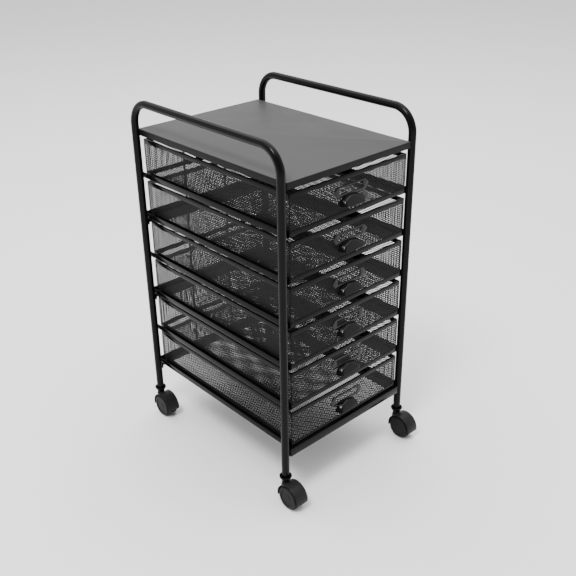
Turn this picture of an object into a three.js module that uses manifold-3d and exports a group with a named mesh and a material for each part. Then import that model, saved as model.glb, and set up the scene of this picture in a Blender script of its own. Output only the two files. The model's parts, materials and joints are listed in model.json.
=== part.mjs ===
// Mobile file cart: two bent-tube side frames, a sheet-steel tray, six mesh drawers on angle rails
// and four hooded twin-wheel casters. Millimetres, +Z up, drawer fronts face -Y, floor at Z = 0.
import * as THREE from 'three';
import { mergeVertices } from 'three/addons/utils/BufferGeometryUtils.js';
import Module from 'manifold-3d';

const wasm = await Module();
wasm.setup();

// Driving dimensions: fits and clearances
const weldGap = 0.3;
const screwClearance = 0.3;
const runningGap = 0.3;
const swivelGap = 0.5;

// Driving dimensions: tube side frames
const postSpacingX = 272;
const postSpacingY = 350;
const tubeDiameter = 12.7;
const tubeWall = 1.2;
const bendRadius = 38;
const legHeight = 54;
const handleRise = 54;

// Driving dimensions: top tray
const traySheet = 1.2;
const trayFlange = 10.5;
const trayOverhang = 4;

// Driving dimensions: levels, rails and drawers
const drawerCount = 6;
const levelPitch = 73;
const railSheet = 1.2;
const railUpright = 10;
const railShelf = 20;
const railEndOverlap = 1;
const drawerSideGap = 5;
const drawerLift = 0.4;
const drawerHeadroom = 5.4;
const drawerFrontProud = 2;
const drawerRearGap = 1.5;
const meshSheet = 0.8;
const meshSlot = 10;
const meshSlotWeb = 12;
const floorSlotsAcross = 12;
const floorSlotsDeep = 2;
const wallSlotRows = 3;
const sideSlotsDeep = 3;
const rearSlotsAcross = 3;
const footBandHeight = 8;
const footBandSheet = 0.8;
const rimHeight = 7;
const rimSheet = 0.7;
const rimSlotGap = 0.3;

// Driving dimensions: drawer handle
const handleSheet = 1.2;
const labelHalfTop = 30;
const labelHalfTip = 37;
const labelHeight = 18;
const windowHalfWidth = 25;
const windowHeight = 9.5;
const windowDrop = 3.5;
const labelBase = 31;
const cupHalfWidth = 20.5;
const cupReach = 12.5;
const cupWall = 1.2;
const cupBase = 13;
const cupLap = 0.6;

// Driving dimensions: cross bars, stop rods and screw holes
const barSheet = 1.5;
const rearBarHalfHeight = 11;
const rearBarLevels = [2, 4, 6];
const barTabLength = 14;
const barRailGap = 1.5;
const frontBarHeight = 11;
const rodDiameter = 4;
const rodSpacing = 87;
const screwDiameter = 4;

// Driving dimensions: casters
const wheelDiameter = 42;
const wheelWidth = 9.4;
const wheelSideGap = 0.6;
const wheelEdgeRound = 2;
const wheelDish = 1.2;
const wheelDishRadius = 14;
const hoodGap = 0.8;
const hoodWall = 1.5;
const hoodDrop = 12.6;
const webThickness = 5;
const axleDiameter = 5;
const axleBoss = 6.5;
const casterOffset = 15.8;
const neckDiameter = 12.8;
const neckLength = 14;
const shoulderDrop = 1.3;
const stemDiameter = 7.5;
const stemLength = 32;
const socketSeat = 4;
const socketFlareRadius = 10.2;
const socketFlareHeight = 9.5;
const socketLip = 1.6;
const socketThroat = 1.3;
const plugLength = 30;

// Mesh resolution
const tubeSides = 16;
const bendSteps = 6;
const roundSides = 20;
const smallSides = 10;

// Heights worked out from the floor up
const wheelRadius = wheelDiameter / 2;
const tubeRadius = tubeDiameter / 2;
const hoodInner = wheelRadius + hoodGap;
const hoodRadius = hoodInner + hoodWall;
const neckTop = wheelRadius + hoodRadius - shoulderDrop;
const socketBottom = neckTop + swivelGap;
const postBottom = socketBottom + socketSeat + weldGap;
const lowestRail = postBottom + legHeight;
const railBottom = (level) => lowestRail + levelPitch * (drawerCount - level);
const trayBottom = railBottom(0);
const trayTop = trayBottom + trayFlange;
const frameTop = trayTop + handleRise;

// Widths and depths worked out from the posts
const postX = postSpacingX / 2;
const postY = postSpacingY / 2;
const insideX = postX - tubeRadius - weldGap;
const trayHalfY = postY + trayOverhang;
const barOuterY = postY + tubeRadius - weldGap;
const barInnerY = barOuterY - barSheet;
const rodY = barInnerY - weldGap - rodDiameter / 2;
const drawerHalfX = insideX - railSheet - drawerSideGap;
const drawerRear = rodY - rodDiameter / 2 - drawerRearGap;
const drawerFront = -postY - drawerFrontProud;
const drawerBase = railSheet + drawerLift;
const drawerTop = levelPitch - drawerHeadroom;

// Finishes
const powderCoat = () => new THREE.MeshStandardMaterial({ color: 0x1d1d1e, roughness: 0.42, metalness: 0.3 });
const trayCoat = () => new THREE.MeshStandardMaterial({ color: 0x3a3a3b, roughness: 0.5, metalness: 0.3 });
const meshCoat = () => new THREE.MeshStandardMaterial({ color: 0x242425, roughness: 0.5, metalness: 0.3 });
const nylon = () => new THREE.MeshStandardMaterial({ color: 0x161617, roughness: 0.45, metalness: 0 });
const wheelNylon = () => new THREE.MeshStandardMaterial({ color: 0x1e1e1f, roughness: 0.5, metalness: 0 });
const bareSteel = () => new THREE.MeshStandardMaterial({ color: 0x8c8c8e, roughness: 0.35, metalness: 1 });

// Solid joins and cuts
function toSolid(geometry) {
  const bare = geometry.index ? geometry.toNonIndexed() : geometry.clone();
  bare.deleteAttribute('normal');
  bare.deleteAttribute('uv');
  const merged = mergeVertices(bare, 1e-4);
  return new wasm.Manifold(new wasm.Mesh({
    numProp: 3,
    vertProperties: new Float32Array(merged.attributes.position.array),
    triVerts: new Uint32Array(merged.index.array),
  }));
}

function toGeometry(solid) {
  const mesh = solid.getMesh();
  const geometry = new THREE.BufferGeometry();
  geometry.setAttribute('position', new THREE.BufferAttribute(new Float32Array(mesh.vertProperties), 3));
  geometry.setIndex(new THREE.BufferAttribute(new Uint32Array(mesh.triVerts), 1));
  geometry.computeVertexNormals();
  return geometry;
}

function join(geometries) {
  return toGeometry(geometries.map(toSolid).reduce((sum, next) => sum.add(next)));
}

function cut(geometry, tools) {
  return toGeometry(tools.map(toSolid).reduce((rest, tool) => rest.subtract(tool), toSolid(geometry)));
}

// Basic forms
function box(low, high) {
  const size = high.map((value, axis) => value - low[axis]);
  const geometry = new THREE.BoxGeometry(...size);
  return geometry.translate(...low.map((value, axis) => value + size[axis] / 2));
}

function rodAlong(axis, radius, length, sides) {
  const geometry = new THREE.CylinderGeometry(radius, radius, length, sides);
  if (axis === 'x') geometry.rotateZ(Math.PI / 2);
  if (axis === 'z') geometry.rotateX(Math.PI / 2);
  return geometry;
}

function polygon(points) {
  return new THREE.Shape(points.map(([x, y]) => new THREE.Vector2(x, y)));
}

// An outline in X and Z, pulled along Y
function extrudeAlongY(shape, lowY, highY, segments = 12) {
  const geometry = new THREE.ExtrudeGeometry(shape, {
    depth: highY - lowY, bevelEnabled: false, curveSegments: segments,
  });
  return geometry.rotateX(Math.PI / 2).translate(0, highY, 0);
}

// An outline in Y and Z, pulled along X
function extrudeAlongX(shape, lowX, highX, segments = 12) {
  const geometry = new THREE.ExtrudeGeometry(shape, {
    depth: highX - lowX, bevelEnabled: false, curveSegments: segments,
  });
  const turn = new THREE.Matrix4().makeBasis(
    new THREE.Vector3(0, 1, 0), new THREE.Vector3(0, 0, 1), new THREE.Vector3(1, 0, 0));
  return geometry.applyMatrix4(turn).translate(lowX, 0, 0);
}

// A profile of radius and height, closed on itself, turned about Z
function turned(points, sides) {
  const loop = [...points, points[0]].map(([radius, z]) => new THREE.Vector2(radius, z));
  return new THREE.LatheGeometry(loop, sides).rotateX(Math.PI / 2);
}

// A path that keeps its own stations, so straight runs take one step
class StationPath extends THREE.Curve {
  constructor(stations) {
    super();
    this.stations = stations;
  }

  getPoint(t, target = new THREE.Vector3()) {
    const place = t * (this.stations.length - 1);
    const index = Math.min(Math.floor(place + 1e-9), this.stations.length - 2);
    return target.lerpVectors(this.stations[index].at, this.stations[index + 1].at, place - index);
  }

  getTangent(t, target = new THREE.Vector3()) {
    const index = Math.round(t * (this.stations.length - 1));
    return target.copy(this.stations[index].along);
  }

  getPointAt(u, target) {
    return this.getPoint(u, target);
  }

  getTangentAt(u, target) {
    return this.getTangent(u, target);
  }
}

function mesh(name, geometry, material) {
  const piece = new THREE.Mesh(geometry, material);
  piece.name = name;
  return piece;
}

// Screw holes: each runs along X through a folded sheet and the near wall of a post
const trayScrewZ = trayBottom + (trayFlange - traySheet) / 2;
const rearScrewZ = (level) => railBottom(level) - (barRailGap + rearBarHalfHeight) / 2;
const frontBarTop = railBottom(drawerCount) - barRailGap;
const frontScrewZ = frontBarTop - frontBarHeight / 2;
const screwSeats = [];
for (const side of [-1, 1]) {
  screwSeats.push({ side, y: -postY, z: trayScrewZ });
  screwSeats.push({ side, y: postY, z: trayScrewZ });
  screwSeats.push({ side, y: -postY, z: frontScrewZ });
  for (const level of rearBarLevels) screwSeats.push({ side, y: postY, z: rearScrewZ(level) });
}

function screwHole(seat) {
  const near = insideX - tubeRadius;
  const hole = rodAlong('x', screwDiameter / 2 + screwClearance, postX - near, smallSides);
  return hole.translate(seat.side * (near + postX) / 2, seat.y, seat.z);
}

// Side frame: one tube bent into two posts and a handle bar
function sideFrame(side) {
  const bar = frameTop - tubeRadius;
  const stations = [{ at: new THREE.Vector3(0, -postY, postBottom), along: new THREE.Vector3(0, 0, 1) }];
  for (const end of [-1, 1]) {
    for (let step = 0; step <= bendSteps; step += 1) {
      const share = end < 0 ? step / bendSteps : 1 - step / bendSteps;
      const angle = share * Math.PI / 2;
      const y = end * (postY - bendRadius + bendRadius * Math.cos(angle));
      const z = bar - bendRadius + bendRadius * Math.sin(angle);
      const along = new THREE.Vector3(0, Math.sin(angle), -end * Math.cos(angle));
      stations.push({ at: new THREE.Vector3(0, y, z), along });
    }
  }
  stations.push({ at: new THREE.Vector3(0, postY, postBottom), along: new THREE.Vector3(0, 0, -1) });
  const section = new THREE.Shape().absarc(0, 0, tubeRadius, 0, Math.PI * 2, false);
  section.holes.push(new THREE.Path().absarc(0, 0, tubeRadius - tubeWall, 0, Math.PI * 2, true));
  const tube = new THREE.ExtrudeGeometry(section, {
    steps: stations.length - 1, curveSegments: tubeSides / 2, extrudePath: new StationPath(stations),
  });
  tube.translate(side * postX, 0, 0);
  return cut(tube, screwSeats.filter((seat) => seat.side === side).map(screwHole));
}

// Top tray: a pan with its four edges folded down
function topTray() {
  const low = [-insideX, -trayHalfY, trayBottom];
  const pan = box(low, [insideX, trayHalfY, trayTop]);
  const hollow = box(
    [low[0] + traySheet, low[1] + traySheet, trayBottom - traySheet],
    [insideX - traySheet, trayHalfY - traySheet, trayTop - traySheet]);
  const seats = screwSeats.filter((seat) => seat.z === trayScrewZ);
  return cut(pan, [hollow, ...seats.map(screwHole)]);
}

// Angle rail: an upright against the posts and a shelf that carries the drawer
function angleRail(side) {
  const outline = polygon([
    [insideX, 0], [insideX, railUpright], [insideX - railSheet, railUpright],
    [insideX - railSheet, railSheet], [insideX - railShelf, railSheet], [insideX - railShelf, 0],
  ]);
  const rail = extrudeAlongY(outline, -postY - railEndOverlap, postY + railEndOverlap);
  return side > 0 ? rail : rail.rotateZ(Math.PI);
}

// Cross bar: a flat strip with a tab folded back along each post; outer is its face away from the cart
function crossBar(outer, low, high) {
  const inward = -Math.sign(outer);
  const inner = outer + inward * barSheet;
  const tabEnd = outer + inward * barTabLength;
  const outline = polygon([
    [-insideX, outer], [-insideX, tabEnd], [barSheet - insideX, tabEnd], [barSheet - insideX, inner],
    [insideX - barSheet, inner], [insideX - barSheet, tabEnd], [insideX, tabEnd], [insideX, outer],
  ]);
  const bar = new THREE.ExtrudeGeometry(outline, { depth: high - low, bevelEnabled: false });
  return bar.translate(0, 0, low);
}

// Rear bar: its tabs are cut short, to pass under the rail on the same level
function rearBar(level) {
  const low = railBottom(level) - rearBarHalfHeight;
  const high = low + rearBarHalfHeight * 2;
  const bar = crossBar(barOuterY, low, high);
  const tabEnd = barOuterY - barTabLength;
  const reliefs = [-1, 1].map((side) => box(
    [side * insideX - barSheet * 2, tabEnd - barSheet, railBottom(level) - barRailGap],
    [side * insideX + barSheet * 2, barInnerY - barSheet, high + barSheet]));
  const seats = screwSeats.filter((seat) => seat.y > 0 && seat.z === rearScrewZ(level));
  return cut(bar, [...reliefs, ...seats.map(screwHole)]);
}

// Front bar: the same section under the lowest drawer
function frontBar() {
  const bar = crossBar(-barOuterY, frontBarTop - frontBarHeight, frontBarTop);
  return cut(bar, screwSeats.filter((seat) => seat.y < 0 && seat.z === frontScrewZ).map(screwHole));
}

// Stop rod: runs down the back of every drawer, from the tray to the lowest rear bar
function stopRod() {
  const low = railBottom(Math.max(...rearBarLevels)) - rearBarHalfHeight;
  const high = trayBottom - weldGap;
  return rodAlong('z', rodDiameter / 2, high - low, smallSides).translate(0, rodY, (low + high) / 2);
}

// Drawer basket: floor and four walls, with a folded band round its foot; local Z = 0 at the rail
const wallX = drawerHalfX - rimSheet - rimSlotGap;
const wallFront = drawerFront + rimSheet + rimSlotGap;
const wallRear = drawerRear - rimSheet - rimSlotGap;
const wallTop = drawerTop - rimSheet - rimSlotGap;

// Places of equal openings along a span, with equal webs between them and at both ends
function openings(low, high, count, width) {
  const web = (high - low - count * width) / (count + 1);
  return Array.from({ length: count }, (_, index) => {
    const start = low + web + index * (web + width);
    return [start, start + width];
  });
}

// Length of each of several openings along a span, with the given web between them and at both ends
function openingLength(low, high, count) {
  return (high - low - (count + 1) * meshSlotWeb) / count;
}

// Slots that open the walls and the floor, as a coarse stand-in for the mesh
function meshSlots() {
  const rows = openings(drawerBase + footBandHeight, drawerTop - rimHeight, wallSlotRows, meshSlot);
  const depths = (count) => openings(wallFront, wallRear, count, openingLength(wallFront, wallRear, count));
  const sideSlots = rows.flatMap(([low, high]) => depths(sideSlotsDeep).map(([front, rear]) => box(
    [-wallX - meshSheet, front, low], [wallX + meshSheet, rear, high])));
  const besideHandle = [[-wallX, -labelHalfTip], [labelHalfTip, wallX]].map(([left, right]) => openings(
    left, right, 1, openingLength(left, right, 1))[0]);
  const frontSlots = rows.flatMap(([low, high]) => besideHandle.map(([left, right]) => box(
    [left, wallFront - meshSheet, low], [right, wallFront + meshSheet * 2, high])));
  const acrossRear = openings(-wallX, wallX, rearSlotsAcross, openingLength(-wallX, wallX, rearSlotsAcross));
  const rearSlots = rows.flatMap(([low, high]) => acrossRear.map(([left, right]) => box(
    [left, wallRear - meshSheet * 2, low], [right, wallRear + meshSheet, high])));
  const columns = openings(-wallX, wallX, floorSlotsAcross, meshSlot);
  const floorSlots = columns.flatMap(([left, right]) => depths(floorSlotsDeep).map(([front, rear]) => box(
    [left, front, drawerBase - meshSheet], [right, rear, drawerBase + meshSheet * 2])));
  return [...sideSlots, ...frontSlots, ...rearSlots, ...floorSlots];
}

function basket() {
  const shell = box([-wallX, wallFront, drawerBase], [wallX, wallRear, wallTop]);
  const band = box(
    [-wallX - footBandSheet, wallFront - footBandSheet, drawerBase],
    [wallX + footBandSheet, wallRear + footBandSheet, drawerBase + footBandHeight]);
  const inside = box(
    [-wallX + meshSheet, wallFront + meshSheet, drawerBase + meshSheet],
    [wallX - meshSheet, wallRear - meshSheet, wallTop + meshSheet]);
  return cut(join([shell, band]), [inside, ...meshSlots()]);
}

// Drawer rim: a strip folded over the top edge of the mesh, so a channel open below
function rim() {
  const low = drawerTop - rimHeight;
  const slotX = wallX - meshSheet - rimSlotGap;
  const slotFront = wallFront + meshSheet + rimSlotGap;
  const slotRear = wallRear - meshSheet - rimSlotGap;
  const outer = box([-drawerHalfX, drawerFront, low], [drawerHalfX, drawerRear, drawerTop]);
  const middle = box(
    [-slotX + rimSheet, slotFront + rimSheet, low - rimSheet],
    [slotX - rimSheet, slotRear - rimSheet, drawerTop + rimSheet]);
  const slotOuter = box(
    [-wallX - rimSlotGap, wallFront - rimSlotGap, low - rimSheet],
    [wallX + rimSlotGap, wallRear + rimSlotGap, drawerTop - rimSheet]);
  const slotInner = box(
    [-slotX, slotFront, low - rimSheet * 2],
    [slotX, slotRear, drawerTop]);
  const slot = cut(slotOuter, [slotInner]);
  return cut(outer, [middle, slot]);
}

// Drawer handle: a label frame with pointed ends over a cup pull that opens downward
function handle() {
  const back = wallFront - weldGap;
  const front = back - handleSheet;
  const foot = drawerBase + labelBase;
  const head = foot + labelHeight;
  const middle = foot + labelHeight / 2;
  const plate = polygon([
    [-labelHalfTop, foot], [labelHalfTop, foot], [labelHalfTip, middle],
    [labelHalfTop, head], [-labelHalfTop, head], [-labelHalfTip, middle],
  ]);
  const windowTop = head - windowDrop;
  plate.holes.push(polygon([
    [-windowHalfWidth, windowTop - windowHeight], [-windowHalfWidth, windowTop],
    [windowHalfWidth, windowTop], [windowHalfWidth, windowTop - windowHeight],
  ]));
  const label = extrudeAlongY(plate, front, back);
  const cupHeight = labelBase + cupLap - cupBase;
  const dome = (inset) => {
    const ball = new THREE.SphereGeometry(1, roundSides, roundSides / 2);
    ball.scale(cupHalfWidth - inset, cupReach - inset, cupHeight - inset);
    return ball.translate(0, back, drawerBase + cupBase);
  };
  const far = cupHalfWidth * 2;
  const behind = box([-far, back, -far], [far, back + far, levelPitch]);
  const below = box([-far, -postY - far, drawerBase + cupBase - far], [far, postY, drawerBase + cupBase]);
  const cup = cut(dome(0), [dome(cupWall), behind, below]);
  return join([label, cup]);
}

function drawer(level) {
  const group = new THREE.Group();
  group.position.z = railBottom(level);
  group.add(mesh(`drawer_${level}_basket`, basket(), meshCoat()));
  group.add(mesh(`drawer_${level}_rim`, rim(), powderCoat()));
  group.add(mesh(`drawer_${level}_handle`, handle(), powderCoat()));
  return group;
}

// Caster: local origin on the floor under the stem, wheels trailing towards -Y
function socket() {
  const bore = stemDiameter / 2 + runningGap;
  const plug = tubeRadius - tubeWall - runningGap;
  const seat = socketBottom + socketSeat;
  const cupInside = tubeRadius + runningGap;
  const rimTop = seat + socketFlareHeight;
  return turned([
    [bore, socketBottom], [neckDiameter / 2, socketBottom], [cupInside + socketThroat, seat],
    [socketFlareRadius, rimTop - socketLip], [socketFlareRadius, rimTop],
    [socketFlareRadius - socketLip, rimTop], [cupInside, seat + socketFlareHeight / 2], [cupInside, seat],
    [plug, seat], [plug, seat + plugLength], [bore, seat + plugLength],
  ], roundSides);
}

function hood() {
  const halfWidth = webThickness / 2 + wheelSideGap * 2 + wheelWidth;
  const drop = THREE.MathUtils.degToRad(hoodDrop);
  const arch = new THREE.Shape();
  arch.absarc(-casterOffset, wheelRadius, hoodRadius, -drop, Math.PI + drop, false);
  arch.absarc(-casterOffset, wheelRadius, hoodInner, Math.PI + drop, -drop, true);
  const shell = extrudeAlongX(arch, -halfWidth, halfWidth, roundSides);
  const web = new THREE.Shape();
  web.absarc(-casterOffset, wheelRadius, hoodInner + hoodWall / 2, 0, Math.PI, false);
  web.absarc(-casterOffset, wheelRadius, axleBoss, Math.PI, Math.PI * 2, false);
  const wall = extrudeAlongX(web, -webThickness / 2, webThickness / 2, roundSides / 2);
  const neck = rodAlong('z', neckDiameter / 2, neckLength, roundSides);
  neck.translate(0, 0, neckTop - neckLength / 2);
  const wheelRoom = [-1, 1].map((side) => {
    const room = rodAlong('x', hoodInner, halfWidth, roundSides);
    return room.translate(side * (webThickness / 2 + halfWidth / 2), -casterOffset, wheelRadius);
  });
  const stem = rodAlong('z', stemDiameter / 2, stemLength + shoulderDrop, smallSides);
  stem.translate(0, 0, neckTop + (stemLength - shoulderDrop) / 2);
  const axleHole = rodAlong('x', axleDiameter / 2 + runningGap, webThickness * 2, smallSides);
  axleHole.translate(0, -casterOffset, wheelRadius);
  const clearedNeck = cut(neck, wheelRoom);
  return cut(join([shell, wall, clearedNeck, stem]), [axleHole]);
}

function axle() {
  const length = webThickness + (wheelWidth + wheelSideGap) * 2 - wheelDish * 4;
  return rodAlong('x', axleDiameter / 2, length, smallSides).translate(0, -casterOffset, wheelRadius);
}

// Wheel: a dished outer face and a rounded tread edge, with a bore for the axle; its flats touch the floor
function wheel(side) {
  const bore = axleDiameter / 2 + runningGap;
  const halfStep = Math.PI / roundSides;
  const tread = wheelRadius / Math.cos(halfStep);
  const inner = webThickness / 2 + wheelSideGap;
  const outer = inner + wheelWidth;
  const profile = [
    [bore, inner], [tread - wheelEdgeRound / 2, inner], [tread, inner + wheelEdgeRound / 2],
    [tread, outer - wheelEdgeRound], [tread - wheelEdgeRound, outer],
    [wheelDishRadius, outer], [wheelDishRadius - wheelDish, outer - wheelDish], [bore, outer - wheelDish],
  ];
  const disc = turned(profile, roundSides).rotateZ(halfStep).rotateY(side * Math.PI / 2);
  return disc.translate(0, -casterOffset, wheelRadius);
}

function caster(place, x, y) {
  const group = new THREE.Group();
  group.position.set(x, y, 0);
  group.add(mesh(`${place}_caster_socket`, socket(), nylon()));
  group.add(mesh(`${place}_caster_hood`, hood(), nylon()));
  group.add(mesh(`${place}_caster_axle`, axle(), bareSteel()));
  group.add(mesh(`${place}_caster_left_wheel`, wheel(-1), wheelNylon()));
  group.add(mesh(`${place}_caster_right_wheel`, wheel(1), wheelNylon()));
  return group;
}

// The whole cart
const cart = new THREE.Group();
cart.add(mesh('left_side_frame', sideFrame(-1), powderCoat()));
cart.add(mesh('right_side_frame', sideFrame(1), powderCoat()));
cart.add(mesh('top_tray', topTray(), trayCoat()));
for (let level = 1; level <= drawerCount; level += 1) {
  const shelves = new THREE.Group();
  shelves.position.z = railBottom(level);
  shelves.add(mesh(`left_rail_${level}`, angleRail(-1), powderCoat()));
  shelves.add(mesh(`right_rail_${level}`, angleRail(1), powderCoat()));
  cart.add(shelves);
  cart.add(drawer(level));
}
for (const level of rearBarLevels) cart.add(mesh(`rear_bar_${level}`, rearBar(level), powderCoat()));
cart.add(mesh('front_bar', frontBar(), powderCoat()));
for (const [name, side] of [['left_stop_rod', -1], ['right_stop_rod', 1]]) {
  const rod = mesh(name, stopRod(), powderCoat());
  rod.position.x = side * rodSpacing / 2;
  cart.add(rod);
}
cart.add(caster('front_left', -postX, -postY));
cart.add(caster('front_right', postX, -postY));
cart.add(caster('rear_left', -postX, postY));
cart.add(caster('rear_right', postX, postY));

export default cart;
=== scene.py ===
# Mobile file cart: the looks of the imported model, in metres, in its own frame.
import json
import math

import bmesh
import bpy
from mathutils import Matrix, Vector


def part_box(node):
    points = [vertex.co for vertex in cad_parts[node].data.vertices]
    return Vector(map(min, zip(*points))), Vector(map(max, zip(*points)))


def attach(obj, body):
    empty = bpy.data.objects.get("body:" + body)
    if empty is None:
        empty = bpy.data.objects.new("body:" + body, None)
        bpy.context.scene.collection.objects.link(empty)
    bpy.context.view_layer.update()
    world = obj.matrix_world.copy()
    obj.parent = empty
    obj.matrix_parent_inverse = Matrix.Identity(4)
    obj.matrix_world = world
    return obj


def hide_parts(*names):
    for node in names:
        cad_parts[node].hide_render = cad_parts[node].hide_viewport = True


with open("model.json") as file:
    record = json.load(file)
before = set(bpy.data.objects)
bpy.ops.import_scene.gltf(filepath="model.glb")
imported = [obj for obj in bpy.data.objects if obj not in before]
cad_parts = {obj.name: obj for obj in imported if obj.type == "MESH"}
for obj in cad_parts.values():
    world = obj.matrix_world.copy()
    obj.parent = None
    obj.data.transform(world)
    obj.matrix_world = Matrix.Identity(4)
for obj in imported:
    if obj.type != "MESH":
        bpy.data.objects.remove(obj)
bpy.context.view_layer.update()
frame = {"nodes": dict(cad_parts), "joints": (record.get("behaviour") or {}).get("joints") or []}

# Units, and what counts as one place, as straight along an axis and as facing along it
MM = 0.001
SAME_PLACE = 0.05 * MM
WELD = 0.01 * MM
STRAIGHT = 0.99
FACING = 0.9

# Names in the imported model
LEVELS = range(1, 7)
SIDES = {"left": -1, "right": 1}
PLACES = ("front_left", "front_right", "rear_left", "rear_right")
REAR_BAR_LEVELS = (2, 4, 6)
ROOT = "cart_frame"

# Camera, as solved from straight edges of the photograph
PICTURE = 576
FOCAL_PIXELS = 827.3
PRINCIPAL_POINT = (284.1, 282.24)
CAMERA_PLACE = Vector((-0.8345, -0.9529, 0.93805))
CAMERA_AZIMUTH = math.radians(42.046)
CAMERA_ELEVATION = math.radians(27.143)
CAMERA_ROLL = math.radians(-0.889)
SENSOR = 36.0

# Room light, dimmer behind the camera
ROOM_LIGHT = 1.35
DIM_SIDE = (-0.66, -0.73, 0.17)
DIM_START = 0.35
DIM_FULL = 0.9
DIM_SHARE = 0.2

# Tube frames and stop rods
TUBE_SIDES = 40
ROD_SIDES = 20
ROD_ROUNDING = 1 / 3
BEND_RADIUS = 38 * MM
BEND_STEPS = 16

# Folded sheet: tray, rails and bars
TRAY_SHEET = 1.2 * MM
TRAY_CORNER = 1.6 * MM
TRAY_FOLD = 1.5 * MM
RAIL_SHEET = 1.2 * MM
RAIL_FOLD = 1.6 * MM
BAR_SHEET = 1.5 * MM
BAR_FOLD = 2.0 * MM
BAR_TAB = 10 * MM
BAR_TAB_DROP = 1.5 * MM
FRONT_LIP = 4.9 * MM
FRONT_LIP_RISE = 2.8 * MM
FRONT_LIP_FOLD = 0.8 * MM
SHEET_EDGE = 0.25 * MM
FOLD_STEPS = 4

# Drawers
MESH_LONG = 5.6 * MM
MESH_SHORT = 3.5 * MM
STRAND = 1.2 * MM
STRAND_SHEET = 0.2 * MM
DRAWER_REACH = 1.2 * MM
RIM_DROP = 2.0 * MM
RIM_WALL = 2.8 * MM
RIM_INSET = 0.6 * MM
RIM_CORNER = 2.0 * MM
RIM_EDGE = 0.5 * MM
BAND_HEIGHT = 8 * MM
BAND_SHEET = 1.0 * MM
LABEL_HEIGHT = 18 * MM
LABEL_HALF_TOP = 30 * MM
LABEL_WINDOW_HALF = 25 * MM
LABEL_WINDOW_HEIGHT = 9.5 * MM
LABEL_WINDOW_DROP = 3.5 * MM
LABEL_SHEET = 1.2 * MM
LABEL_EDGE = 0.4 * MM
CUP_SIDES = 72
CUP_HALF_WIDTH = 22.4 * MM
CUP_REACH = 10.5 * MM
CUP_HEIGHT = 14.6 * MM
CUP_LIFT = 4.8 * MM
CUP_DRAFT = 0.90
CUP_LEAN = math.radians(20)
CUP_RIDGE = 2.4 * MM
CUP_RIDGE_STEPS = 5
RIDGE_CLEAR = 0.1 * MM
CUP_WALL = 1.2 * MM

# Casters
CASTER_SIDES = 64
ROUND_ANGLES = (0, 30, 60, 90)
NECK_SIDES = 40
SOCKET_SIDES = 48
HOOD_WALL = 0.9 * MM
HOOD_EDGE = 0.35 * MM
HOOD_NARROWING = 1.0 * MM
HOOD_CUT = math.radians(12.6)
WEB_THICKNESS = 5 * MM
AXLE_BOSS = 6.5 * MM
NECK_RADIUS = 6.4 * MM
NECK_FOOT = 7.4 * MM
NECK_EDGE = 0.5 * MM
NECK_TAPER_FOOT = 6 * MM
NECK_TAPER_TOP = 3 * MM
WHEEL_ROOM_WIDTH = 60 * MM
STEM_RADIUS = 3.75 * MM
WHEEL_EDGE = 2 * MM
WHEEL_CAP_DROP = 1.8 * MM
WHEEL_CAP_DEPTH = 3.5 * MM
WHEEL_CAP_EDGE = 1.0 * MM
WHEEL_RIM = 3.2 * MM
WHEEL_DISH = 1.0 * MM
HUB_RADIUS = 5.5 * MM
HUB_RISE = 0.5 * MM
HUB_CENTRE = 2 * MM
SOCKET_PLAY = 0.3 * MM
SOCKET_RISE = 5.7 * MM
SOCKET_LIP = 0.8 * MM
SOCKET_WALL = 1.5 * MM
SOCKET_CHAMFER = 1.6 * MM
SOCKET_PLUG_INSET = 1.5 * MM
FLARE_FOOT = 3.4 * MM
FLARE_TOP = 2.0 * MM
MOUTH_FOOT = 2 * MM
MOUTH_TOP = 3 * MM
MOUTH_WIDENING = 0.6 * MM

# Screws
SCREW_HEAD = 3.6 * MM
SCREW_RISE = 2.0 * MM
SCREW_SOCKET = 1.3 * MM
SCREW_SIDES = 24
SCREW_ANGLES = (0, 30, 60, 80)
SCREW_SINK = 0.2 * MM
SCREW_SOCKET_DEPTH = 1.2 * MM
SCREW_SOCKET_TAPER = 0.9

# Finishes: sizes of their patterns in waves per metre, depths of their grain, spans of their tones
COAT_CLOUDS, COAT_PEEL, COAT_SPECKS = 14.0, 900.0, 2600.0
COAT_TONES = (0.85, 1.2)
# Span of the painted-light tone on upward faces
LIT_TOP_TONES = (0.93, 1.07)
COAT_PEEL_DEPTH = 0.12 * MM
COAT_DUST, COAT_SPECK_DUST = 0.35, 0.12
COAT_UNEVEN = 0.08
NYLON_CLOUDS, NYLON_GRAIN, NYLON_SCUFFS = 30.0, 1500.0, 260.0
NYLON_TONES = (0.8, 1.25)
NYLON_GRAIN_DEPTH = 0.06 * MM
NYLON_GRAIN_SHARE = 0.25
NYLON_UNEVEN = 0.1
NYLON_GLOSS = 0.10
NYLON_SCUFF_TONE = 3.0
WIRE_LINES, WIRE_DRAW = 160.0, 30.0
WIRE_TONES = (0.42, 0.58)
WIRE_ROUGH, WIRE_UNEVEN = 0.26, 0.16
DUST_WARMTH = 0.02
FLOOR_SIZE = 40
FLOOR_CLOUDS = 0.6
FLOOR_TONES = (0.86, 0.88)


# Modelling moves
def rest():
    if bpy.context.mode != "OBJECT":
        bpy.ops.object.mode_set(mode="OBJECT")
    bpy.ops.object.select_all(action="DESELECT")


def take(piece):
    rest()
    piece.select_set(True)
    bpy.context.view_layer.objects.active = piece


def named(name):
    """The primitive just added, under its name, with its place in its mesh."""
    piece = bpy.context.object
    piece.name = name
    piece.data.name = name
    bpy.ops.object.transform_apply(location=True, rotation=True, scale=True)
    return piece


def block(name, low, high):
    rest()
    low, high = Vector(low), Vector(high)
    bpy.ops.mesh.primitive_cube_add(size=1, location=(low + high) / 2, scale=high - low)
    return named(name)


def shape(piece):
    take(piece)
    bpy.ops.object.mode_set(mode="EDIT")
    bpy.ops.mesh.select_all(action="SELECT")


KINDS = {"VERT": "verts", "EDGE": "edges", "FACE": "faces"}


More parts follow.
